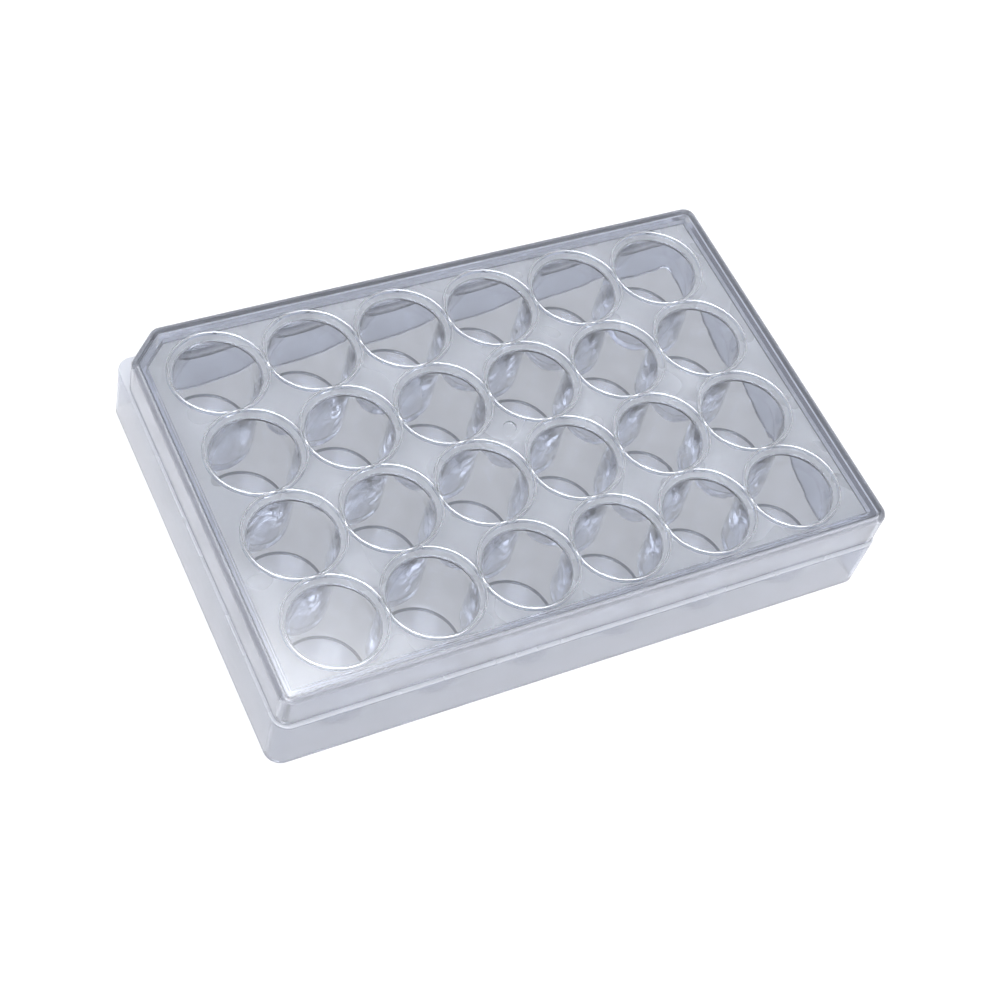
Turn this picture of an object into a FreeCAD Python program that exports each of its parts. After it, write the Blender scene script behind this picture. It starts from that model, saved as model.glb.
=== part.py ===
"""A 24-well culture plate with its loose lid, both moulded in clear polystyrene.

The plate is one moulding: a skirt with a ledge on top, a narrower upper wall with
one corner cut off, a deck sunk below that wall, and a cup under each mouth in the
deck. The lid is a second moulding: a flat panel with a short skirt of its own. It
drops over the upper wall, lies on it, and carries a condensation ring over each well.

Millimetres, +Z up. The long side runs along X, and the cut corner is at -X +Y. The
origin is the centre of the footprint, on the surface that the plate stands on.
Sizes grow from the wells outward: the pitch sets the rings, the rings set the upper
wall, and each wall and clearance after that is added round the one before.
"""
import FreeCAD, Part
import os
import Sketcher

SIZES = [
    # alias, value, what it sets
    ("well_columns", 6, "wells along X"),
    ("well_rows", 4, "wells along Y"),
    ("mouth_diameter", 16.8, "bore of a well at the deck"),
    ("mouth_web", 2.5, "deck left between two mouths"),
    ("bore_draft", 0.25, "how much nearer its axis a well's wall is at the floor"),
    ("well_depth", 16.2, "deck down to a well's floor"),
    ("well_wall", 0.9, "wall of a cup"),
    ("well_floor", 1.2, "thickness of a cup's floor"),
    ("foot_radius", 0.6, "rounding under a cup"),
    ("floor_radius", 0.4, "rounding round a well's floor"),
    ("cup_clearance", 1.5, "cups above the surface that the plate stands on"),
    ("deck_recess", 1.4, "top of the upper wall down to the deck"),
    ("deck_thickness", 1.0, "thickness of the deck"),
    ("upper_wall", 1.2, "wall of the upper part, inside the lid"),
    ("upper_rise", 7.0, "ledge up to the top of the upper wall"),
    ("inner_corner_radius", 0.5, "upright inside corners above and below the deck"),
    ("ledge_thickness", 1.3, "thickness of the ledge"),
    ("skirt_wall", 1.3, "wall of the skirt"),
    ("skirt_corner_radius", 3.2, "upright corners of the skirt"),
    ("ring_width", 0.5, "width of a condensation ring"),
    ("ring_height", 0.9, "drop of a ring below the lid's panel"),
    ("ring_end_gap", 2.45, "outermost ring to the upper wall, along X"),
    ("ring_side_gap", 0.45, "outermost ring to the upper wall, along Y"),
    ("lid_clearance", 0.4, "upper wall to the lid's skirt, all round"),
    ("lid_wall", 1.3, "wall of the lid's skirt"),
    ("lid_panel", 1.4, "thickness of the lid's panel"),
    ("lid_edge_gap", 0.3, "lid's lower edge above the ledge"),
    ("lid_end_inset", 0.38, "lid in from the skirt's outside, along X"),
    ("lid_side_inset", 0.54, "lid in from the skirt's outside, along Y"),
    ("lid_corner_radius", 2.5, "upright corners of the lid"),
    ("lid_edge_radius", 1.1, "rounding of the lid's top edge"),
    ("corner_cut", 6.8, "leg of the lid's 45 degree corner cut"),
    ("gate_diameter", 2.7, "dimple at the lid's moulding gate"),
    ("gate_depth", 0.3, "depth of that dimple"),
    ("least_radius", 0.2, "smallest rounding that is moulded"),
]

PITCH = "(Sizes.mouth_diameter + Sizes.mouth_web)"
FIRST_WELL_LEFT = f"((Sizes.well_columns - 1) / 2 * {PITCH})"
FIRST_WELL_FRONT = f"((Sizes.well_rows - 1) / 2 * {PITCH})"

# Each ring is as wide as the pitch at the middle of its width, so neighbours join.
RING_MIDDLE = f"({PITCH} / 2)"
INNER_LENGTH = f"(Sizes.well_columns * {PITCH} + Sizes.ring_width + 2 * Sizes.ring_end_gap)"
INNER_WIDTH = f"(Sizes.well_rows * {PITCH} + Sizes.ring_width + 2 * Sizes.ring_side_gap)"
UPPER_LENGTH = f"({INNER_LENGTH} + 2 * Sizes.upper_wall)"
UPPER_WIDTH = f"({INNER_WIDTH} + 2 * Sizes.upper_wall)"
LID_INSIDE_LENGTH = f"({UPPER_LENGTH} + 2 * Sizes.lid_clearance)"
LID_INSIDE_WIDTH = f"({UPPER_WIDTH} + 2 * Sizes.lid_clearance)"
LID_LENGTH = f"({LID_INSIDE_LENGTH} + 2 * Sizes.lid_wall)"
LID_WIDTH = f"({LID_INSIDE_WIDTH} + 2 * Sizes.lid_wall)"
PLATE_LENGTH = f"({LID_LENGTH} + 2 * Sizes.lid_end_inset)"
PLATE_WIDTH = f"({LID_WIDTH} + 2 * Sizes.lid_side_inset)"

# An outline moved inward keeps a parallel corner cut when its leg loses 2 - sqrt(2)
# of the distance moved.
LID_INSIDE_CUT = "(Sizes.corner_cut - (2 - sqrt(2)) * Sizes.lid_wall)"
UPPER_CUT = f"({LID_INSIDE_CUT} - (2 - sqrt(2)) * Sizes.lid_clearance)"
INNER_CUT = f"({UPPER_CUT} - (2 - sqrt(2)) * Sizes.upper_wall)"

# Walls of even thickness have corners about one centre, down to the least radius.
SKIRT_INSIDE_RADIUS = "max(Sizes.skirt_corner_radius - Sizes.skirt_wall; Sizes.least_radius)"
LID_INSIDE_RADIUS = "max(Sizes.lid_corner_radius - Sizes.lid_wall; Sizes.least_radius)"
UPPER_RADIUS = f"max({LID_INSIDE_RADIUS} - Sizes.lid_clearance; Sizes.least_radius)"

WELL_UNDERSIDE = "Sizes.cup_clearance"
WELL_FLOOR_TOP = f"({WELL_UNDERSIDE} + Sizes.well_floor)"
DECK_TOP = f"({WELL_FLOOR_TOP} + Sizes.well_depth)"
DECK_UNDERSIDE = f"({DECK_TOP} - Sizes.deck_thickness)"
PLATE_TOP = f"({DECK_TOP} + Sizes.deck_recess)"
LEDGE = f"({PLATE_TOP} - Sizes.upper_rise)"
LEDGE_UNDERSIDE = f"({LEDGE} - Sizes.ledge_thickness)"
LID_LOWER_EDGE = f"({LEDGE} + Sizes.lid_edge_gap)"
LID_TOP = f"({PLATE_TOP} + Sizes.lid_panel)"

MOUTH_BORE = "(Sizes.mouth_diameter / 2)"
FLOOR_BORE = f"({MOUTH_BORE} - Sizes.bore_draft)"
FLOOR_OUTSIDE = f"({FLOOR_BORE} + Sizes.well_wall)"
MOUTH_OUTSIDE = f"({MOUTH_BORE} + Sizes.well_wall)"

TOUCH = 0.001  # places closer than this are the same place

document = FreeCAD.newDocument("culture_plate")
sheet = document.addObject("Spreadsheet::Sheet", "Sizes")
for row, (alias, value, meaning) in enumerate(SIZES, start=1):
    sheet.set(f"A{row}", alias)
    sheet.set(f"B{row}", str(value))
    sheet.set(f"C{row}", meaning)
    sheet.setAlias(f"B{row}", alias)
document.recompute()


def value_of(formula):
    """Number that a formula on the sheet gives."""
    return float(sheet.evalExpression(formula))


def origin_item(body, role):
    """The body's own origin plane or axis with this role."""
    return next(item for item in body.Origin.OriginFeatures if item.Role == role)


def new_body(label):
    """Start a piece. Its label names its file."""
    body = document.addObject("PartDesign::Body", label)
    body.Label = label
    return body


def new_sketch(body, name, plane, lift):
    """Sketch on one of the body's own planes, lifted along that plane's normal."""
    sketch = body.newObject("Sketcher::SketchObject", name)
    sketch.AttachmentSupport = (origin_item(body, plane), [""])
    sketch.MapMode = "FlatFace"
    sketch.setExpression(".AttachmentOffset.Base.z", lift)
    return sketch


def add_size(sketch, name, kind, places, formula):
    """Dimension a sketch and bind the dimension to the sheet."""
    index = sketch.addConstraint(Sketcher.Constraint(kind, *places, value_of(formula)))
    sketch.renameConstraint(index, name)
    sketch.setExpression(f"Constraints.{name}", formula)


def close_polygon(sketch, corners):
    """Join corners with lines into one closed outline."""
    points = [FreeCAD.Vector(x, y, 0) for x, y in corners]
    last = len(points) - 1
    for start, end in zip(points, points[1:] + points[:1]):
        sketch.addGeometry(Part.LineSegment(start, end), False)
    for line in range(last):
        sketch.addConstraint(Sketcher.Constraint("Coincident", line, 2, line + 1, 1))
    sketch.addConstraint(Sketcher.Constraint("Coincident", last, 2, 0, 1))
    return last


def draw_rectangle(body, name, lift, length, width, cut=None):
    """Rectangle about the Z axis, with its corner at -X +Y cut off where a leg is given."""
    sketch = new_sketch(body, name, "XY_Plane", lift)
    x = value_of(length) / 2
    y = value_of(width) / 2
    if cut:
        leg = value_of(cut)
        left_corner = [(leg - x, y), (-x, y - leg)]
    else:
        left_corner = [(-x, y)]
    last = close_polygon(sketch, [(-x, -y), (x, -y), (x, y)] + left_corner)
    sketch.addConstraint(Sketcher.Constraint("Horizontal", 0))
    sketch.addConstraint(Sketcher.Constraint("Vertical", 1))
    sketch.addConstraint(Sketcher.Constraint("Horizontal", 2))
    sketch.addConstraint(Sketcher.Constraint("Vertical", last))
    sketch.addConstraint(Sketcher.Constraint("Symmetric", 0, 1, 1, 2, -1, 1))
    add_size(sketch, "length", "DistanceX", (0, 1, 0, 2), length)
    add_size(sketch, "width", "DistanceY", (1, 1, 1, 2), width)
    if cut:
        add_size(sketch, "cut_along_x", "DistanceX", (3, 2, 3, 1), cut)
        add_size(sketch, "cut_along_y", "DistanceY", (3, 2, 3, 1), cut)
    return sketch


def draw_half_section(body, name, corners):
    """Half of an upright section through the first well, closed by the well's axis.

    Each corner is (radius, height), and the first two lie on the axis.
    """
    sketch = new_sketch(body, name, "XZ_Plane", FIRST_WELL_FRONT)
    axis = -value_of(FIRST_WELL_LEFT)
    close_polygon(sketch, [(axis + value_of(radius), value_of(height)) for radius, height in corners])
    sketch.addConstraint(Sketcher.Constraint("Vertical", 0))
    add_size(sketch, "axis_left", "DistanceX", (0, 1, -1, 1), FIRST_WELL_LEFT)
    for number, (radius, height) in enumerate(corners):
        add_size(sketch, f"height_{number}", "DistanceY", (-1, 1, number, 1), height)
        if number > 1:
            add_size(sketch, f"radius_{number}", "DistanceX", (0, 1, number, 1), radius)
    return sketch


def draw_circles(body, name, lift, left, behind, radii):
    """Circles about one upright axis, placed from the Z axis."""
    sketch = new_sketch(body, name, "XY_Plane", lift)
    centre = FreeCAD.Vector(-value_of(left), value_of(behind), 0)
    for number, radius in enumerate(radii):
        circle = Part.Circle(centre, FreeCAD.Vector(0, 0, 1), value_of(radius))
        sketch.addGeometry(circle, False)
        add_size(sketch, f"radius_{number}", "Radius", (number,), radius)
        if number:
            sketch.addConstraint(Sketcher.Constraint("Coincident", 0, 3, number, 3))
    add_size(sketch, "left", "DistanceX", (0, 3, -1, 1), left)
    add_size(sketch, "behind", "DistanceY", (-1, 1, 0, 3), behind)
    return sketch


def pad(body, name, sketch, length, downward=False):
    """Add the solid over a sketch, or under it."""
    feature = body.newObject("PartDesign::Pad", name)
    feature.Profile = sketch
    feature.Reversed = downward
    feature.setExpression("Length", length)
    return feature


def pocket(body, name, sketch, depth, upward=False):
    """Cut the solid away under a sketch, or over it."""
    document.recompute()
    before = body.Shape.Volume
    feature = body.newObject("PartDesign::Pocket", name)
    feature.Profile = sketch
    feature.Reversed = upward
    feature.setExpression("Length", depth)
    document.recompute()
    if body.Shape.Volume > before - TOUCH:
        raise RuntimeError(f"{name} cuts nothing")
    return feature


def turn(body, name, sketch, kind):
    """Turn a half section once about the well's axis, as solid or as a cut."""
    document.recompute()
    feature = body.newObject(f"PartDesign::{kind}", name)
    feature.Profile = sketch
    feature.ReferenceAxis = (sketch, ["Edge1"])
    feature.Angle = 360
    return feature


def repeat_over_wells(body, name, feature):
    """Repeat what was made at the first well over every column and row."""
    pattern = body.newObject("PartDesign::LinearPattern", name)
    pattern.Originals = [feature]
    pattern.Direction = (origin_item(body, "X_Axis"), [""])
    pattern.Direction2 = (origin_item(body, "Y_Axis"), [""])
    pattern.Mode = "Extent"
    pattern.Mode2 = "Extent"
    pattern.setExpression("Length", f"2 * {FIRST_WELL_LEFT}")
    pattern.setExpression("Length2", f"2 * {FIRST_WELL_FRONT}")
    pattern.setExpression("Occurrences", "Sizes.well_columns")
    pattern.setExpression("Occurrences2", "Sizes.well_rows")
    body.Tip = pattern
    return pattern


def round_edges(body, name, radius, is_wanted):
    """Round the edges of the piece so far that the test picks."""
    document.recompute()
    base = body.Tip
    edges = [f"Edge{number}" for number, edge in enumerate(base.Shape.Edges, start=1) if is_wanted(edge)]
    if not edges:
        raise RuntimeError(f"{name} finds no edge")
    feature = body.newObject("PartDesign::Fillet", name)
    feature.Base = (base, edges)
    feature.setExpression("Radius", radius)
    return feature


def upright(low, high):
    """Test for upright edges that run between two heights."""
    ends = (value_of(low), value_of(high))

    def is_wanted(edge):
        box = edge.BoundBox
        at_heights = abs(box.ZMin - ends[0]) < TOUCH and abs(box.ZMax - ends[1]) < TOUCH
        return at_heights and box.XLength < TOUCH and box.YLength < TOUCH

    return is_wanted


def flat_at(level):
    """Test for every edge that lies in one level plane."""
    height = value_of(level)

    def is_wanted(edge):
        box = edge.BoundBox
        return abs(box.ZMin - height) < TOUCH and abs(box.ZMax - height) < TOUCH

    return is_wanted


def circle_at(level, radius):
    """Test for whole circles of one radius in one level plane."""
    in_plane = flat_at(level)
    wanted = value_of(radius)

    def is_wanted(edge):
        return in_plane(edge) and edge.Closed and abs(edge.Curve.Radius - wanted) < TOUCH

    return is_wanted


def build_plate():
    """Skirt, ledge, upper wall, deck and cups, as one moulding."""
    body = new_body("well_plate")

    outline = draw_rectangle(body, "skirt_outline", "0", PLATE_LENGTH, PLATE_WIDTH)
    pad(body, "skirt_block", outline, LEDGE)
    round_edges(body, "skirt_corners", "Sizes.skirt_corner_radius", upright("0", LEDGE))

    outline = draw_rectangle(body, "upper_outline", "0", UPPER_LENGTH, UPPER_WIDTH, UPPER_CUT)
    pad(body, "upper_block", outline, PLATE_TOP)
    round_edges(body, "upper_corners", UPPER_RADIUS, upright(LEDGE, PLATE_TOP))

    inside_length = f"{PLATE_LENGTH} - 2 * Sizes.skirt_wall"
    inside_width = f"{PLATE_WIDTH} - 2 * Sizes.skirt_wall"
    outline = draw_rectangle(body, "skirt_inside", "0", inside_length, inside_width)
    pocket(body, "skirt_hollow", outline, LEDGE_UNDERSIDE, upward=True)
    round_edges(body, "skirt_inside_corners", SKIRT_INSIDE_RADIUS, upright("0", LEDGE_UNDERSIDE))

    outline = draw_rectangle(body, "deck_underside", "0", INNER_LENGTH, INNER_WIDTH, INNER_CUT)
    pocket(body, "deck_hollow", outline, DECK_UNDERSIDE, upward=True)
    outline = draw_rectangle(
        body, "deck_outline", PLATE_TOP, INNER_LENGTH, INNER_WIDTH, INNER_CUT
    )
    pocket(body, "deck_recess", outline, "Sizes.deck_recess")
    under_deck = upright(LEDGE_UNDERSIDE, DECK_UNDERSIDE)
    above_deck = upright(DECK_TOP, PLATE_TOP)
    round_edges(
        body,
        "inner_corners",
        "Sizes.inner_corner_radius",
        lambda edge: under_deck(edge) or above_deck(edge),
    )

    cup_corners = [
        ("0", WELL_UNDERSIDE),
        ("0", DECK_TOP),
        (MOUTH_OUTSIDE, DECK_TOP),
        (FLOOR_OUTSIDE, WELL_UNDERSIDE),
    ]
    cup = turn(body, "cup", draw_half_section(body, "cup_section", cup_corners), "Revolution")
    repeat_over_wells(body, "cups", cup)

    # The bore's cutter keeps its taper above the deck, so that it leaves no skin there.
    taper = "Sizes.bore_draft / Sizes.well_depth"
    cutter_rise = "Sizes.deck_recess"
    bore_corners = [
        ("0", WELL_FLOOR_TOP),
        ("0", f"{DECK_TOP} + {cutter_rise}"),
        (f"{MOUTH_BORE} + {taper} * {cutter_rise}", f"{DECK_TOP} + {cutter_rise}"),
        (FLOOR_BORE, WELL_FLOOR_TOP),
    ]
    bore = turn(body, "bore", draw_half_section(body, "bore_section", bore_corners), "Groove")
    repeat_over_wells(body, "bores", bore)

    round_edges(body, "cup_feet", "Sizes.foot_radius", circle_at(WELL_UNDERSIDE, FLOOR_OUTSIDE))
    round_edges(body, "well_floors", "Sizes.floor_radius", circle_at(WELL_FLOOR_TOP, FLOOR_BORE))
    return body


def build_lid():
    """Panel, skirt, condensation rings and gate dimple, as one moulding."""
    body = new_body("lid")

    outline = draw_rectangle(body, "lid_outline", LID_LOWER_EDGE, LID_LENGTH, LID_WIDTH, "Sizes.corner_cut")
    pad(body, "lid_block", outline, f"{LID_TOP} - {LID_LOWER_EDGE}")
    round_edges(body, "lid_corners", "Sizes.lid_corner_radius", upright(LID_LOWER_EDGE, LID_TOP))
    round_edges(body, "lid_top_edge", "Sizes.lid_edge_radius", flat_at(LID_TOP))

    outline = draw_rectangle(
        body, "lid_inside", LID_LOWER_EDGE, LID_INSIDE_LENGTH, LID_INSIDE_WIDTH, LID_INSIDE_CUT
    )
    pocket(body, "lid_hollow", outline, f"{PLATE_TOP} - {LID_LOWER_EDGE}", upward=True)
    round_edges(
        body, "lid_inside_corners", LID_INSIDE_RADIUS, upright(LID_LOWER_EDGE, PLATE_TOP)
    )

    ring_radii = [f"{RING_MIDDLE} + Sizes.ring_width / 2", f"{RING_MIDDLE} - Sizes.ring_width / 2"]
    circles = draw_circles(
        body, "ring_circles", PLATE_TOP, FIRST_WELL_LEFT, f"-{FIRST_WELL_FRONT}", ring_radii
    )
    ring = pad(body, "ring", circles, "Sizes.ring_height", downward=True)
    repeat_over_wells(body, "rings", ring)

    circles = draw_circles(body, "gate_circle", LID_TOP, "0", "0", ["Sizes.gate_diameter / 2"])
    pocket(body, "gate_dimple", circles, "Sizes.gate_depth")
    return body


pieces = [build_plate(), build_lid()]
document.recompute()

for item in document.Objects:
    if "Invalid" in item.State or "Error" in item.State:
        raise RuntimeError(f"{item.Name} failed")
for piece in pieces:
    if piece.Shape.isNull() or not piece.Shape.isValid() or len(piece.Shape.Solids) != 1:
        raise RuntimeError(f"{piece.Label} is not one valid solid")

os.makedirs("parts", exist_ok=True)
for piece in pieces:
    piece.Shape.exportStep(f"parts/{piece.Label}.step")
    print(piece.Label, f"{piece.Shape.Volume:.0f} mm3", piece.Shape.BoundBox)
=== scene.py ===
"""A clear polystyrene culture plate with its lid on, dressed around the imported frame.

The plate and the lid are modelled again as smooth closed mouldings, because light
bends at every wall of a clear part and shows each facet. Both keep the frame's
sizes and places, but for a film of air where the lid rests. Metres throughout, +Z up.
"""

import logging
import math
from dataclasses import dataclass, field
from enum import Enum, IntEnum
from typing import Callable, Iterable, Sequence

import bmesh
import bpy
from mathutils import Matrix, Vector


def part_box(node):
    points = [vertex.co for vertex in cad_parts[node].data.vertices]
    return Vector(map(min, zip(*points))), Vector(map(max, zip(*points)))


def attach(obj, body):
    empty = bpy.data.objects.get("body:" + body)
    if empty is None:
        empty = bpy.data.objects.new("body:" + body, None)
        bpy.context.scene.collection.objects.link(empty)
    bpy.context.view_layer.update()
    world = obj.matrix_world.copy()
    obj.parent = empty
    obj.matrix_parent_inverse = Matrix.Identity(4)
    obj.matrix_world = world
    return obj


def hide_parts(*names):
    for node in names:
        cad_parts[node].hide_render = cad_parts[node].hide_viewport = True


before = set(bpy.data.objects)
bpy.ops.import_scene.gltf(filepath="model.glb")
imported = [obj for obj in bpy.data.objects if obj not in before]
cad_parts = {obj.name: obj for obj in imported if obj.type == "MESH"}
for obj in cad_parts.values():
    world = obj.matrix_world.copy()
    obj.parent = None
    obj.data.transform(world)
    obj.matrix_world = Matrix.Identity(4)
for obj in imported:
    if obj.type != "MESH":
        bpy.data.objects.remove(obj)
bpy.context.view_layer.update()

MM = 0.001
BODY = "root"
SMOOTH_UNDER = math.radians(32)  # edges flatter than this are part of one rounded surface
SAME_LEVEL = 1e-7
SAME_POINT = 2e-7
CORNER_STEPS = 8
RIM_STEPS = 6
ARC_STEPS = 5
CREST_STEPS = 7
WELL_STEPS = 96
GATE_STEPS = 32
FACES_UP = 0.99
FACES_OUT_AND_UP = 0.3
FACES_IN_AND_UP = 0.1

Socket = bpy.types.NodeSocket

log = logging.getLogger("well_plate")


class Combine(Enum):
    """How one closed shape is combined with another."""

    JOIN = "UNION"
    CUT = "DIFFERENCE"


class LidFace(IntEnum):
    """Material numbers of the lid's faces."""

    PANEL = 0
    RIM = 1


class PlateFace(IntEnum):
    """Material numbers of the plate's faces."""

    CUP_WALL = 0
    # Skirt faces, whose darker tint is partly painted shade.
    SKIRT_PAINTED_SHADE = 1
    WELL_FLOOR = 2
    # Faces that carry the painted shade of the dark line at each floor's edge.
    PAINTED_FLOOR_EDGE_SHADE = 3
    DECK = 4
    LEDGE = 5


# --------------------------------------------------------------------------- colours


def linear(hex_colour: str) -> tuple[float, float, float, float]:
    """Turn an sRGB hex colour into a linear one with full alpha.

    Args:
        hex_colour: Six hex digits, such as "c8ccd6".

    Returns:
        Red, green, blue and alpha, each from 0 to 1.
    """
    channels = [int(hex_colour[start : start + 2], 16) / 255 for start in (0, 2, 4)]
    curved = [c / 12.92 if c <= 0.04045 else ((c + 0.055) / 1.055) ** 2.4 for c in channels]
    return (*curved, 1.0)


def add_node(
    tree: bpy.types.NodeTree, kind: str, links: dict | None = None, **settings
) -> bpy.types.Node:
    """Add a shader node with its settings and the links into it.

    Args:
        tree: Node tree to add to.
        kind: Node type, such as "ShaderNodeMath".
        links: Input name or number to the output socket that feeds it, or to a constant.
        **settings: Node properties, or input values where the name is an input's.

    Returns:
        The new node.
    """
    node = tree.nodes.new(kind)
    for name, value in settings.items():
        if hasattr(node, name):
            setattr(node, name, value)
        else:
            node.inputs[name.replace("_", " ")].default_value = value
    for socket, source in (links or {}).items():
        if isinstance(source, Socket):
            tree.links.new(source, node.inputs[socket])
        else:
            node.inputs[socket].default_value = source
    return node


# --------------------------------------------------------------------------- finishes


@dataclass(frozen=True)
class MouldedPolystyrene:
    """General-purpose polystyrene, injection moulded in a polished tool.

    Glass clear with a faint blue-grey cast that deepens with the wall's thickness. The
    melt cools unevenly: where it shrank more the skin sinks, so reflections waver across
    the flat faces, and it copied the tool's polish less well, so it is a little duller
    and greyer there.
    """

    name: str
    tint: str
    depth_tint: str = "a4a9b6"
    depth_density: float = 20.0
    index: float = 1.59
    roughness: float = 0.03
    clearness: float = 1.0
    shrink_width: float = 9.0 * MM
    shrink_height: float = 0.02 * MM
    shrink_range: tuple[float, float] = (0.2, 0.8)
    sunk_shade: float = 0.94
    sunk_roughness: float = 1.3

    def material(self) -> bpy.types.Material:
        """Build the node material."""
        material = bpy.data.materials.new(self.name)
        material.use_nodes = True
        tree = material.node_tree
        tree.nodes.clear()
        place = add_node(tree, "ShaderNodeTexCoord").outputs["Object"]
        shrink = add_node(
            tree, "ShaderNodeTexNoise", {"Vector": place}, Scale=1 / self.shrink_width, Detail=0.0
        ).outputs["Fac"]
        tone = add_node(tree, "ShaderNodeValToRGB", {"Fac": shrink})
        full = linear(self.tint)
        shades = (self.sunk_shade, 1.0)
        for stop, position, shade in zip(tone.color_ramp.elements, self.shrink_range, shades):
            stop.position = position
            stop.color = (*(channel * shade for channel in full[:3]), 1.0)
        polish = add_node(
            tree,
            "ShaderNodeMapRange",
            {"Value": shrink},
            From_Min=self.shrink_range[0],
            From_Max=self.shrink_range[1],
            To_Min=self.roughness * self.sunk_roughness,
            To_Max=self.roughness,
        )
        skin = add_node(tree, "ShaderNodeBump", {"Height": shrink}, Distance=self.shrink_height)
        surface = add_node(
            tree,
            "ShaderNodeBsdfPrincipled",
            {
                "Base Color": tone.outputs["Color"],
                "Roughness": polish.outputs["Result"],
                "Normal": skin.outputs["Normal"],
            },
            IOR=self.index,
            Transmission_Weight=self.clearness,
        )
        inside = add_node(
            tree,
            "ShaderNodeVolumeAbsorption",
            Color=linear(self.depth_tint),
            Density=self.depth_density,
        )
        add_node(
            tree,
            "ShaderNodeOutputMaterial",
            {"Surface": surface.outputs["BSDF"], "Volume": inside.outputs["Volume"]},
        )
        return material


# The lid's panel lies over everything and greys it evenly.
PANEL = MouldedPolystyrene("moulded_polystyrene_panel", tint="f4f7fd")
# The thin cup walls are the clearest, so that those behind one another do not add up to black.
CUP_WALL = MouldedPolystyrene(
    "moulded_polystyrene_cup_wall", tint="f9fafd", shrink_width=4.0 * MM, shrink_height=0.06 * MM
)
# The well floors are looked at square on, and show the plastic's cool cast most plainly.
WELL_FLOOR = MouldedPolystyrene("moulded_polystyrene_well_floor", tint="f1f5ff")
# The rim of the lid is a little hazy, which keeps it from flashing black at its bends.
LID_RIM = MouldedPolystyrene(
    "moulded_polystyrene_lid_rim", tint="e9ecf4", roughness=0.2, clearness=0.86
)
# The skirt is taken to have a fine texture, which greys it a little and softens the cups behind it.
# The rest of its darker grey tint is painted shade for the shaded inside of the plate seen through
# it.
SKIRT_PAINTED_SHADE = MouldedPolystyrene(
    "moulded_polystyrene_skirt_painted_shade", tint="d0d4df", roughness=0.12, clearness=0.9
)
# The rounded edge of each floor is seen as a dark line, which light bent at that edge draws.
# Here that line is painted shade: it is the same plastic as the rest, and only this dark tint draws
# it.
PAINTED_FLOOR_EDGE_SHADE = MouldedPolystyrene("moulded_polystyrene_floor_edge_painted_shade", tint="626772", roughness=0.1)
# The deck is taken to be moulded against a matt tool face, which blurs what is under it and
# looks pale.
MATT_DECK = MouldedPolystyrene(
    "moulded_polystyrene_matt_deck", tint="fbfaf6", roughness=0.25, clearness=0.3
)
# The ledge that the lid comes down to is hazy, so it shows as a light line around the plate.
MATT_LEDGE = MouldedPolystyrene(
    "moulded_polystyrene_matt_ledge", tint="dde0e7", roughness=0.25, clearness=0.4
)


# --------------------------------------------------------------------------- mesh work


@dataclass(frozen=True)
class Outline:
    """Rectangle about the Z axis with rounded corners, its -X +Y corner cut off if asked.

    Attributes:
        half_length: Half the size along X.
        half_width: Half the size along Y.
        radius: Rounding of the upright corners.
        cut: Leg of the 45 degree corner cut, or 0 for a square corner.
    """

    half_length: float
    half_width: float
    radius: float
    cut: float = 0.0

    def inward(self, distance: float, least_radius: float = 0.2 * MM) -> "Outline":
        """Offset the outline inward, with its corner cut kept parallel.

        Args:
            distance: How far every side moves in.
            least_radius: Smallest corner rounding that is moulded.

        Returns:
            The smaller outline.
        """
        leg = self.cut - (2 - math.sqrt(2)) * distance if self.cut else 0.0
        radius = max(self.radius - distance, least_radius)
        return Outline(self.half_length - distance, self.half_width - distance, radius, leg)

    def left_out(self, place: Vector) -> bool:
        """Tell whether a place lies beyond the outline's four sides or its cut corner."""
        if place.y - place.x > self.half_length + self.half_width - self.cut:
            return True
        return abs(place.x) > self.half_length or abs(place.y) > self.half_width

    def corners(self) -> list[tuple[float, float, float]]:
        """List each corner as x, y and the share of the radius that its tangents take."""
        x, y = self.half_length, self.half_width
        points = [(-x, -y, 1.0), (x, -y, 1.0), (x, y, 1.0)]
        if self.cut:
            # Each end of the cut turns by 45 degrees, so its rounding starts closer in.
            shallow = math.tan(math.radians(22.5))
            return points + [(self.cut - x, y, shallow), (-x, y - self.cut, shallow)]
        return points + [(-x, y, 1.0)]


def finished(bm: bmesh.types.BMesh, name: str) -> bpy.types.Object:
    """Make an object of a closed bmesh, with its faces pointing outward.

    Args:
        bm: The shape. It is freed.
        name: Name of the object and its mesh.

    Returns:
        The new object, at the origin.
    """
    bmesh.ops.recalc_face_normals(bm, faces=bm.faces)
    mesh = bpy.data.meshes.new(name)
    bm.to_mesh(mesh)
    bm.free()
    piece = bpy.data.objects.new(name, mesh)
    bpy.context.scene.collection.objects.link(piece)
    return piece


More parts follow.
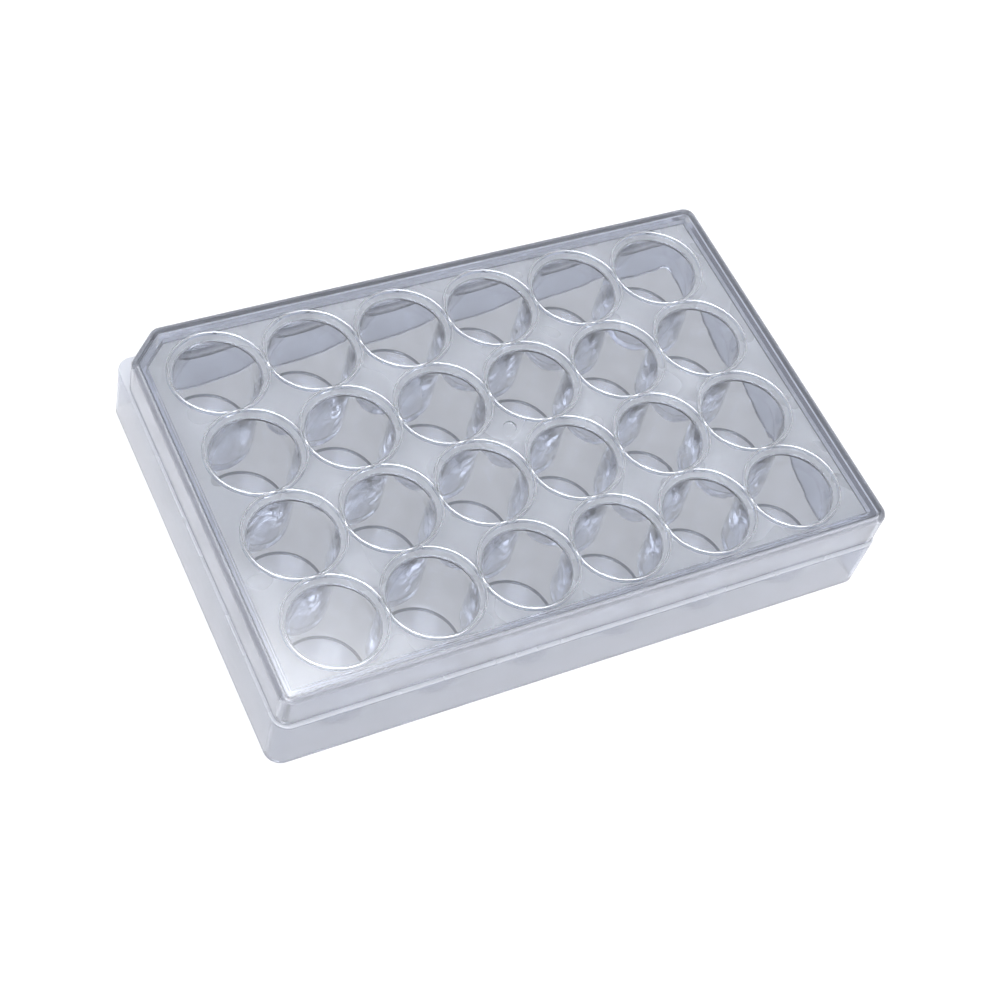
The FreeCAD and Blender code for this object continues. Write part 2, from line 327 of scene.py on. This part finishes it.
def block(
    outline: Outline, low: float, high: float, top_radius: float = 0.0, foot_radius: float = 0.0
) -> bpy.types.Object:
    """Raise an outline into a block with rounded corners and rims.

    Args:
        outline: Plan of the block.
        low: Height of its underside.
        high: Height of its top.
        top_radius: Rounding of the rim on top.
        foot_radius: Rounding of the rim underneath.

    Returns:
        The block as an object.
    """
    bm = bmesh.new()
    shares = {}
    ring = []
    for x, y, share in outline.corners():
        shares[(round(x, 6), round(y, 6))] = share
        ring.append(bm.verts.new((x, y, low)))
    bm.faces.new(ring)
    raised = bmesh.ops.extrude_face_region(bm, geom=bm.faces[:])
    lifted = [item for item in raised["geom"] if isinstance(item, bmesh.types.BMVert)]
    bmesh.ops.translate(bm, verts=lifted, vec=(0, 0, high - low))
    bmesh.ops.recalc_face_normals(bm, faces=bm.faces)

    def share_of(edge: bmesh.types.BMEdge) -> float:
        """Share of the radius at an upright edge, or 0 for a level one."""
        start, end = (vert.co for vert in edge.verts)
        if abs(start.z - end.z) < (high - low) / 2:
            return 0.0
        return shares.get((round(start.x, 6), round(start.y, 6)), 0.0)

    for share in sorted(set(shares.values())):
        upright = [edge for edge in bm.edges if share_of(edge) == share]
        bmesh.ops.bevel(
            bm,
            geom=upright,
            offset=outline.radius * share,
            segments=CORNER_STEPS,
            affect="EDGES",
            profile=0.5,
            material=-1,
        )
    for level, radius in ((high, top_radius), (low, foot_radius)):
        if radius:
            rim = [
                edge
                for edge in bm.edges
                if all(abs(vert.co.z - level) < SAME_LEVEL for vert in edge.verts)
            ]
            bmesh.ops.bevel(
                bm,
                geom=rim,
                offset=radius,
                segments=RIM_STEPS,
                affect="EDGES",
                profile=0.5,
                material=-1,
                clamp_overlap=True,
            )
    return finished(bm, "block")


def turned(
    profile: Sequence[tuple[float, float]], around: int, closed: bool = False
) -> bpy.types.Mesh:
    """Turn a half section once about the Z axis.

    Args:
        profile: Radius and height of each point. An open profile starts and ends on the axis.
        around: Steps in the full turn.
        closed: Whether the last point joins the first.

    Returns:
        A closed mesh.
    """
    bm = bmesh.new()
    points = [bm.verts.new((radius, 0, height)) for radius, height in profile]
    pairs = list(zip(points, points[1:]))
    if closed:
        pairs.append((points[-1], points[0]))
    edges = [bm.edges.new(pair) for pair in pairs]
    bmesh.ops.spin(
        bm,
        geom=points + edges,
        cent=(0, 0, 0),
        axis=(0, 0, 1),
        angle=math.tau,
        steps=around,
        use_merge=True,
    )
    bmesh.ops.remove_doubles(bm, verts=bm.verts, dist=SAME_LEVEL)
    bmesh.ops.recalc_face_normals(bm, faces=bm.faces)
    mesh = bpy.data.meshes.new("turned")
    bm.to_mesh(mesh)
    bm.free()
    return mesh


def repeated(mesh: bpy.types.Mesh, centres: Iterable[Vector]) -> bpy.types.Object:
    """Copy a mesh to each centre, all in one object.

    Args:
        mesh: Shape about the Z axis.
        centres: Where its axis goes.

    Returns:
        One object that holds every copy.
    """
    bm = bmesh.new()
    for centre in centres:
        made = len(bm.verts)
        bm.from_mesh(mesh)
        bmesh.ops.translate(bm, verts=bm.verts[made:], vec=centre)
    bpy.data.meshes.remove(mesh)
    return finished(bm, "repeated")


def combine(piece: bpy.types.Object, other: bpy.types.Object, how: Combine) -> None:
    """Join another closed object to a piece, or cut it out, and remove it.

    Args:
        piece: Object that changes.
        other: Object that is used up.
        how: Join or cut.
    """
    modifier = piece.modifiers.new(how.name, "BOOLEAN")
    modifier.operation = how.value
    modifier.solver = "MANIFOLD"
    modifier.object = other
    view = bpy.context.evaluated_depsgraph_get()
    result = bpy.data.meshes.new_from_object(piece.evaluated_get(view))
    piece.modifiers.clear()
    before = piece.data
    piece.data = result
    bpy.data.meshes.remove(before)
    bpy.data.objects.remove(other)


def smooth(piece: bpy.types.Object) -> None:
    """Shade rounded surfaces smooth and keep the real edges sharp.

    Args:
        piece: Object whose mesh is cleaned and marked.
    """
    bm = bmesh.new()
    bm.from_mesh(piece.data)
    bmesh.ops.remove_doubles(bm, verts=bm.verts, dist=SAME_POINT)
    bmesh.ops.dissolve_degenerate(bm, dist=SAME_LEVEL, edges=bm.edges)
    for face in bm.faces:
        face.smooth = True
    for edge in bm.edges:
        edge.smooth = len(edge.link_faces) == 2 and edge.calc_face_angle(0.0) < SMOOTH_UNDER
    bm.to_mesh(piece.data)
    bm.free()


def arc(
    centre: tuple[float, float], radius: float, start: float, end: float, steps: int = ARC_STEPS
) -> list[tuple[float, float]]:
    """List the points of an arc in a half section.

    Args:
        centre: Radius and height of the arc's centre.
        radius: Radius of the arc.
        start: Angle of its first point, in degrees from the outward direction.
        end: Angle of its last point.
        steps: Stretches between points.

    Returns:
        Radius and height of each point.
    """
    angles = [math.radians(start + (end - start) * step / steps) for step in range(steps + 1)]
    return [(centre[0] + radius * math.cos(a), centre[1] + radius * math.sin(a)) for a in angles]


# --------------------------------------------------------------------------- pieces


@dataclass(frozen=True)
class WellGrid:
    """Where the wells are."""

    columns: int = 6
    rows: int = 4
    pitch: float = 19.3 * MM

    def centres(
        self, wanted: Callable[[int, int], bool] = lambda column, row: True
    ) -> list[Vector]:
        """List the well axes in the base plane.

        Args:
            wanted: Test on column and row numbers.

        Returns:
            The centre of each wanted well.
        """
        middle_column, middle_row = (self.columns - 1) / 2, (self.rows - 1) / 2
        return [
            Vector(((column - middle_column) * self.pitch, (row - middle_row) * self.pitch, 0))
            for row in range(self.rows)
            for column in range(self.columns)
            if wanted(column, row)
        ]


@dataclass
class Lid:
    """Panel with a short skirt, a condensation ring over each well and a gate dimple."""

    grid: WellGrid = field(default_factory=WellGrid)
    wall: float = 1.3 * MM
    panel: float = 1.4 * MM
    corner_radius: float = 2.5 * MM
    edge_radius: float = 1.1 * MM
    lower_edge_radius: float = 0.25 * MM
    inside_radius: float = 0.3 * MM
    corner_cut: float = 6.8 * MM
    ring_width: float = 0.5 * MM
    ring_height: float = 0.9 * MM
    gate_radius: float = 1.35 * MM
    gate_depth: float = 0.3 * MM

    def __post_init__(self) -> None:
        """Take the lid's heights and outline from the frame."""
        low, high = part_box("lid")
        self.low, self.top = low[2], high[2]
        self.outline = Outline(high[0], high[1], self.corner_radius, self.corner_cut)

    def ring(self) -> bpy.types.Mesh:
        """Turn one condensation ring, a thin ridge with a round crest, sunk in the panel."""
        underside = self.top - self.panel
        radius = self.ring_width / 2
        middle = self.grid.pitch / 2
        crest = underside - self.ring_height + radius
        root = underside + self.panel / 2
        section = [(middle + radius, root), (middle - radius, root)]
        section += arc((middle, crest), radius, 180, 360, CREST_STEPS)
        return turned(section, WELL_STEPS, closed=True)

    def build(self) -> bpy.types.Object:
        """Model the lid as one closed shell."""
        piece = block(self.outline, self.low, self.top, self.edge_radius, self.lower_edge_radius)
        panel = self.outline.inward(self.wall)
        inside = block(panel, self.low - self.wall, self.top - self.panel, self.inside_radius)
        combine(piece, inside, Combine.CUT)
        # Neighbouring rings touch, so every second one is joined at a time.
        for parity in (0, 1):
            some = self.grid.centres(lambda column, row: (column + row) % 2 == parity)
            combine(piece, repeated(self.ring(), some), Combine.JOIN)
        floor, bend = self.top - self.gate_depth, self.gate_radius - self.gate_depth
        dimple = [(0, floor), *arc((bend, self.top), self.gate_depth, -90, 0)]
        dimple += [(self.gate_radius, self.top + self.panel), (0, self.top + self.panel)]
        combine(piece, repeated(turned(dimple, GATE_STEPS), [Vector()]), Combine.CUT)
        smooth(piece)
        piece.name = "moulded_lid"
        for face in piece.data.polygons:
            if panel.left_out(face.center):
                face.material_index = LidFace.RIM
        return piece


@dataclass
class Plate:
    """Skirt with a ledge, upper wall, sunk deck and a cup at each well."""

    grid: WellGrid = field(default_factory=WellGrid)
    corner_radius: float = 3.2 * MM
    skirt_wall: float = 1.3 * MM
    ledge_height: float = 13.3 * MM
    ledge_thickness: float = 1.3 * MM
    ledge_radius: float = 0.35 * MM
    foot_radius: float = 0.25 * MM
    upper_inset: float = 1.7 * MM
    upper_wall: float = 1.2 * MM
    seat_gap: float = 0.04 * MM
    deck_recess: float = 1.4 * MM
    deck_thickness: float = 1.0 * MM
    mouth_radius: float = 8.4 * MM
    bore_draft: float = 0.25 * MM
    lip_radius: float = 0.3 * MM
    cup_clearance: float = 1.5 * MM
    well_floor: float = 1.2 * MM
    well_wall: float = 0.9 * MM
    cup_foot_radius: float = 0.6 * MM
    floor_radius: float = 0.4 * MM
    upper_edge_radius: float = 0.2 * MM
    inside_radius: float = 0.3 * MM
    level_tolerance: float = 0.02 * MM

    def __post_init__(self) -> None:
        """Take the plate's height and outline from the frame."""
        _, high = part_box("well_plate")
        self.top = high[2]
        self.skirt = Outline(high[0], high[1], self.corner_radius)
        self.deck = self.top - self.deck_recess
        self.floor = self.cup_clearance + self.well_floor
        self.floor_bore = self.mouth_radius - self.bore_draft

    def cup(self) -> bpy.types.Mesh:
        """Turn the outside of one cup, from its foot up into the deck."""
        foot_outside = self.floor_bore + self.well_wall
        foot = self.cup_clearance
        join = self.deck - self.deck_thickness / 2
        radius = self.cup_foot_radius
        profile = [(0, foot), *arc((foot_outside - radius, foot + radius), radius, -90, 0)]
        profile += [(self.mouth_radius + self.well_wall, join), (0, join)]
        return turned(profile, WELL_STEPS)

    def bore(self) -> bpy.types.Mesh:
        """Turn the inside of one well, with its rounded lip at the deck."""
        clear = self.top + self.deck_recess
        radius = self.floor_radius
        lip = self.mouth_radius + self.lip_radius
        bend = (self.floor_bore - radius, self.floor + radius)
        profile = [(0, self.floor), *arc(bend, radius, -90, 0)]
        profile += arc((lip, self.deck - self.lip_radius), self.lip_radius, 180, 90)
        profile += [(lip, clear), (0, clear)]
        return turned(profile, WELL_STEPS)

    def build(self, lid: Outline) -> bpy.types.Object:
        """Model the plate as one closed shell.

        Args:
            lid: The lid's outline, which the upper wall follows.

        Returns:
            The plate.
        """
        upper = lid.inward(self.upper_inset)
        inner = upper.inward(self.upper_wall)
        inside = self.skirt.inward(self.skirt_wall)
        below = -self.skirt_wall
        sunk = self.ledge_thickness / 2
        ledge_underside = self.ledge_height - self.ledge_thickness
        deck_underside = self.deck - self.deck_thickness
        # Two mouldings never touch all over, and the film of air between them shows.
        seat = self.top - self.seat_gap
        clear = self.top + self.deck_recess
        piece = block(self.skirt, 0.0, self.ledge_height, self.ledge_radius, self.foot_radius)
        wall = block(upper, self.ledge_height - sunk, seat, self.upper_edge_radius)
        combine(piece, wall, Combine.JOIN)
        combine(piece, block(inside, below, ledge_underside, self.inside_radius), Combine.CUT)
        combine(piece, block(inner, below, deck_underside, self.inside_radius), Combine.CUT)
        combine(piece, block(inner, self.deck, clear, 0.0, self.inside_radius), Combine.CUT)
        combine(piece, repeated(self.cup(), self.grid.centres()), Combine.JOIN)
        combine(piece, repeated(self.bore(), self.grid.centres()), Combine.CUT)
        smooth(piece)
        piece.name = "moulded_plate"
        for face in piece.data.polygons:
            face.material_index = self.kind_of(face)
        return piece

    def kind_of(self, face: bpy.types.MeshPolygon) -> PlateFace:
        """Tell which part of the moulding a face belongs to.

        Args:
            face: A face of the finished plate.

        Returns:
            Its material number.
        """
        middle, up = face.center, face.normal.z
        if up > FACES_OUT_AND_UP and abs(middle.z - self.ledge_height) < self.ledge_radius:
            return PlateFace.LEDGE
        # Skirt faces get a darker tint that is partly painted shade.
        if middle.z < self.ledge_height and self.skirt.inward(2 * self.skirt_wall).left_out(middle):
            return PlateFace.SKIRT_PAINTED_SHADE
        if up > FACES_UP and abs(middle.z - self.floor) < self.level_tolerance:
            return PlateFace.WELL_FLOOR
        # The rounded edge of each floor gets the painted shade of a dark line.
        if up > FACES_IN_AND_UP and self.floor < middle.z < self.floor + self.floor_radius:
            return PlateFace.PAINTED_FLOOR_EDGE_SHADE
        if up > FACES_UP and abs(middle.z - self.deck) < self.level_tolerance:
            return PlateFace.DECK
        return PlateFace.CUP_WALL


# --------------------------------------------------------------------------- studio


@dataclass(frozen=True)
class Studio:
    """White table, soft light from overhead and the camera."""

    table_size: float = 6.0
    table_drop: float = 0.1 * MM
    table_colour: str = "fbfbfd"
    table_glow: float = 0.5
    sky_overhead: float = 0.73
    sky_horizon: float = 0.25
    sky_tilt: float = 20.0
    sky_azimuth: float = -40.0
    sky_edge: tuple[float, float] = (0.0, 0.5)
    sky_colour: str = "fafbff"
    strip_level: float = 8.5
    strip_width: float = 0.3
    strip_reach: float = 0.33
    strip_gap: float = 0.13
    strip_height: float = 0.5
    strip_edge: float = 0.15
    strip_azimuth: float = 50.0
    camera_place: tuple[float, float, float] = (-153.02 * MM, -185.12 * MM, 320.03 * MM)
    camera_target: tuple[float, float, float] = (-3.67 * MM, -8.01 * MM, 10.0 * MM)
    camera_roll: float = 18.38
    lens: float = 72.1
    clip_start: float = 10.0 * MM
    bounces: int = 40
    clear_bounces: int = 28
    mirror_bounces: int = 32

    def table(self) -> None:
        """Lay the table, which glows evenly where it is looked at and is lit where it is not."""
        bm = bmesh.new()
        bmesh.ops.create_grid(bm, x_segments=1, y_segments=1, size=self.table_size / 2)
        bmesh.ops.translate(bm, verts=bm.verts, vec=(0, 0, -self.table_drop))
        table = finished(bm, "table")
        material = bpy.data.materials.new("white_table")
        material.use_nodes = True
        tree = material.node_tree
        tree.nodes.clear()
        path = add_node(tree, "ShaderNodeLightPath")
        looked_at = add_node(
            tree,
            "ShaderNodeMath",
            {0: path.outputs["Is Camera Ray"], 1: path.outputs["Is Glossy Ray"]},
            operation="MAXIMUM",
        )
        seen = add_node(
            tree,
            "ShaderNodeMath",
            {0: looked_at.outputs["Value"], 1: path.outputs["Is Transmission Ray"]},
            operation="MAXIMUM",
        )
        share = add_node(
            tree,
            "ShaderNodeMath",
            {0: seen.outputs["Value"], 1: self.table_glow},
            operation="MULTIPLY",
        )
        lit = add_node(tree, "ShaderNodeBsdfDiffuse", Color=linear(self.table_colour))
        glow = add_node(tree, "ShaderNodeEmission", Strength=1.0)
        surface = add_node(
            tree,
            "ShaderNodeMixShader",
            {0: share.outputs["Value"], 1: lit.outputs["BSDF"], 2: glow.outputs["Emission"]},
        )
        add_node(tree, "ShaderNodeOutputMaterial", {"Surface": surface.outputs["Shader"]})
        table.data.materials.append(material)

    def ramp(
        self,
        tree: bpy.types.NodeTree,
        along: Socket,
        reach: tuple[float, float],
        levels: tuple[float, float] = (0.0, 1.0),
    ) -> Socket:
        """Blend softly from one level to another.

        Args:
            tree: Node tree to add to.
            along: Value that the blend follows.
            reach: Its values where the blend starts and ends.
            levels: What comes out at the start and at the end.

        Returns:
            The socket with the level.
        """
        blend = add_node(
            tree,
            "ShaderNodeMapRange",
            {"Value": along},
            interpolation_type="SMOOTHSTEP",
            From_Min=reach[0],
            From_Max=reach[1],
            To_Min=levels[0],
            To_Max=levels[1],
        )
        return blend.outputs["Result"]

    def sky(self) -> None:
        """Light the scene from a soft dome and a bright strip overhead, in line with the camera."""
        world = bpy.data.worlds.new("studio")
        bpy.context.scene.world = world
        world.use_nodes = True
        tree = world.node_tree
        tree.nodes.clear()
        direction = add_node(tree, "ShaderNodeTexCoord").outputs["Generated"]

        def share_along(axis: tuple[float, float, float]) -> Socket:
            """Give how far the direction points along an axis, from -1 to 1."""
            dot = add_node(
                tree, "ShaderNodeVectorMath", {0: direction, 1: axis}, operation="DOT_PRODUCT"
            )
            return dot.outputs["Value"]

        def calculated(operation: str, *values: Socket | float) -> Socket:
            """Do one step of arithmetic on sockets and numbers."""
            step = add_node(tree, "ShaderNodeMath", dict(enumerate(values)), operation=operation)
            return step.outputs["Value"]

        def size_of(value: Socket) -> Socket:
            """Drop the sign of a value."""
            return calculated("ABSOLUTE", value)

        tilt, side = math.radians(self.sky_tilt), math.radians(self.sky_azimuth)
        flat = math.sin(tilt)
        brightest = (flat * math.cos(side), flat * math.sin(side), math.cos(tilt))
        levels = (self.sky_horizon, self.sky_overhead)
        dome = self.ramp(tree, share_along(brightest), self.sky_edge, levels)
        heading = math.radians(self.strip_azimuth)
        half, edge = self.strip_width / 2, self.strip_edge
        across = size_of(share_along((math.sin(heading), -math.cos(heading), 0)))
        away = share_along((math.cos(heading), math.sin(heading), 0))
        # The strip leaves out the point overhead, so that it does not blind a view from above.
        masks = [
            self.ramp(tree, across, (half + edge, half)),
            self.ramp(tree, away, (self.strip_reach + edge, self.strip_reach)),
            self.ramp(tree, size_of(away), (self.strip_gap, self.strip_gap + edge / 2)),
            self.ramp(tree, share_along((0, 0, 1)), (self.strip_height, self.strip_height + edge)),
        ]
        strip = masks[0]
        for mask in masks[1:]:
            strip = calculated("MULTIPLY", strip, mask)
        total = calculated("MULTIPLY_ADD", strip, self.strip_level, dome)
        glow = add_node(
            tree, "ShaderNodeBackground", {"Strength": total}, Color=linear(self.sky_colour)
        )
        # Beyond the edge of the table the camera sees plain white.
        backdrop = add_node(tree, "ShaderNodeBackground", Color=linear("ffffff"), Strength=1.0)
        path = add_node(tree, "ShaderNodeLightPath")
        seen = add_node(
            tree,
            "ShaderNodeMixShader",
            {
                0: path.outputs["Is Camera Ray"],
                1: glow.outputs["Background"],
                2: backdrop.outputs["Background"],
            },
        )
        add_node(tree, "ShaderNodeOutputWorld", {"Surface": seen.outputs["Shader"]})

    def camera(self) -> None:
        """Aim the camera at the plate, with its roll."""
        data = bpy.data.cameras.new("camera")
        data.lens = self.lens
        data.clip_start = self.clip_start
        camera = bpy.data.objects.new("camera", data)
        bpy.context.scene.collection.objects.link(camera)
        place, target = Vector(self.camera_place), Vector(self.camera_target)
        aim = (target - place).to_track_quat("-Z", "Y").to_matrix().to_4x4()
        roll = Matrix.Rotation(math.radians(self.camera_roll), 4, "Z")
        camera.matrix_world = Matrix.Translation(place) @ aim @ roll
        bpy.context.scene.camera = camera

    def build(self) -> None:
        """Set up the table, the light and the camera."""
        self.table()
        self.sky()
        self.camera()
        scene = bpy.context.scene
        scene.view_settings.view_transform = "Standard"
        # Light crosses many clear walls one after another before it reaches the table.
        scene.cycles.max_bounces = self.bounces
        scene.cycles.transmission_bounces = self.clear_bounces
        scene.cycles.glossy_bounces = self.mirror_bounces


def dress(piece: bpy.types.Object, node: str, finishes: Sequence[MouldedPolystyrene]) -> None:
    """Put a finished piece in the place of its frame node.

    Args:
        piece: The modelled piece.
        node: The frame node that it stands for.
        finishes: Its finishes, in the order of its faces' material numbers.
    """
    numbers = [face.material_index for face in piece.data.polygons]
    piece.data.materials.clear()
    for finish in finishes:
        piece.data.materials.append(finish.material())
    piece.data.polygons.foreach_set("material_index", numbers)
    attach(piece, BODY)
    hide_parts(node)
    piece.data.calc_loop_triangles()
    log.info("%s: %d triangles", piece.name, len(piece.data.loop_triangles))


def main() -> None:
    """Build and dress the plate and its lid, then set up the studio."""
    logging.basicConfig(level=logging.INFO, format="%(name)s: %(message)s")
    lid = Lid()
    dress(lid.build(), "lid", [PANEL, LID_RIM])
    # The floor edge's dark tint is painted shade, and the skirt's darker tint is partly painted
    # shade.
    plate_finishes = [CUP_WALL, SKIRT_PAINTED_SHADE, WELL_FLOOR, PAINTED_FLOOR_EDGE_SHADE, MATT_DECK, MATT_LEDGE]
    dress(Plate().build(lid.outline), "well_plate", plate_finishes)
    Studio().build()


if __name__ == "__main__":
    main()
